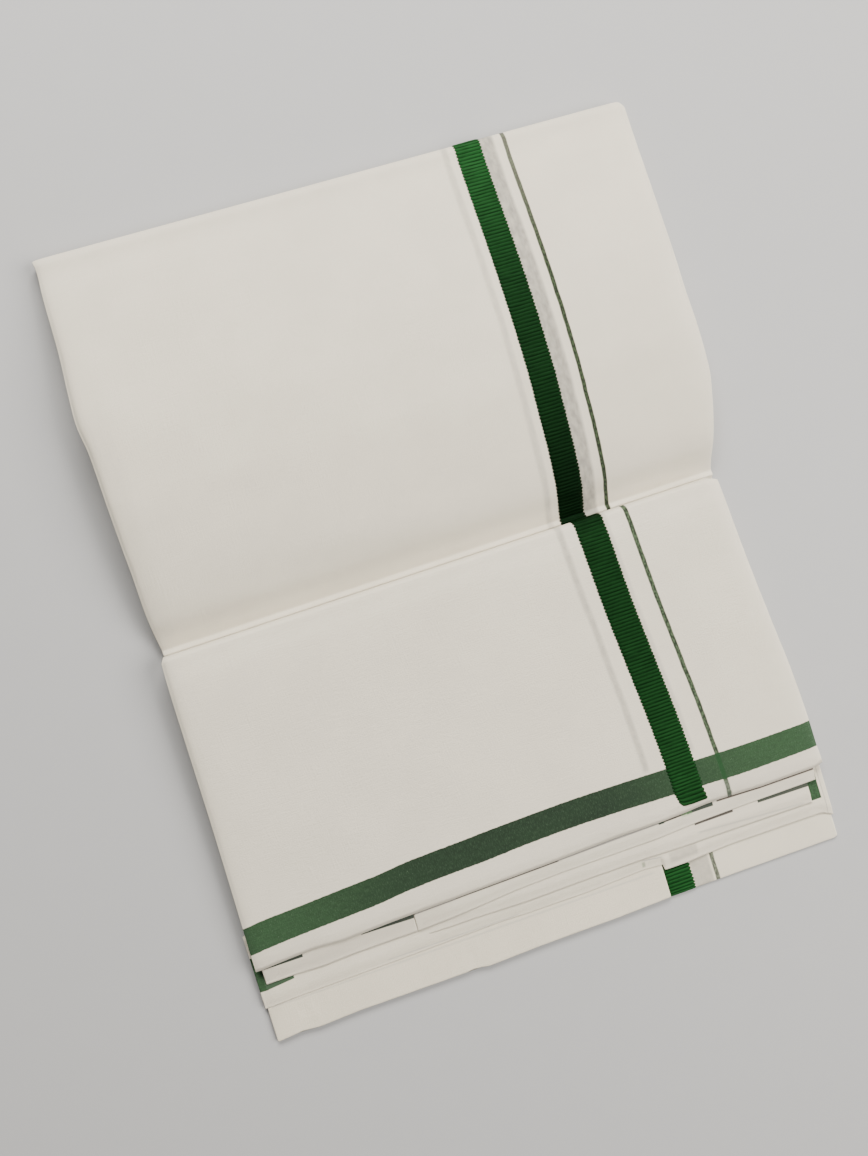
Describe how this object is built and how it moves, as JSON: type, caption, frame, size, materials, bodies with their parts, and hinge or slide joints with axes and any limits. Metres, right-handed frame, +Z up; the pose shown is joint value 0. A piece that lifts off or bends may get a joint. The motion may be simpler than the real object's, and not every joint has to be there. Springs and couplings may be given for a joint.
{
  "type": "dhoti cloth",
  "caption": "Folded white cotton dhoti lying open like a book, with ribbed green border stripes, a thin green line and woven cross bands at its cut ends",
  "frame": {"origin": "centre of the underside of the folded cloth, on the surface it lies on", "axes": "+X across the pack towards the border stripe, +Y along the pack towards its far fold, +Z up"},
  "size_m": [0.3255, 0.4213, 0.0254],
  "materials": {
    "hidden_layers": "plain woven cotton, matt",
    "upper_panel": "plain woven cotton, matt, with a ribbed border stripe",
    "lower_panel": "plain woven cotton, matt, with a ribbed border stripe",
    "second_leaf_left": "plain woven cotton, matt",
    "second_leaf_right": "plain woven cotton, matt",
    "third_leaf": "plain woven cotton, matt",
    "fourth_leaf": "plain woven cotton, matt",
    "fifth_leaf": "plain woven cotton, matt",
    "bottom_leaf": "plain woven cotton, matt"
  },
  "bodies": {
    "root": {"hidden_layers": "hidden_layers", "upper_panel": "upper_panel", "lower_panel": "lower_panel", "second_leaf_left": "second_leaf_left", "second_leaf_right": "second_leaf_right", "third_leaf": "third_leaf", "fourth_leaf": "fourth_leaf", "fifth_leaf": "fifth_leaf", "bottom_leaf": "bottom_leaf"}
  },
  "joints": []
}
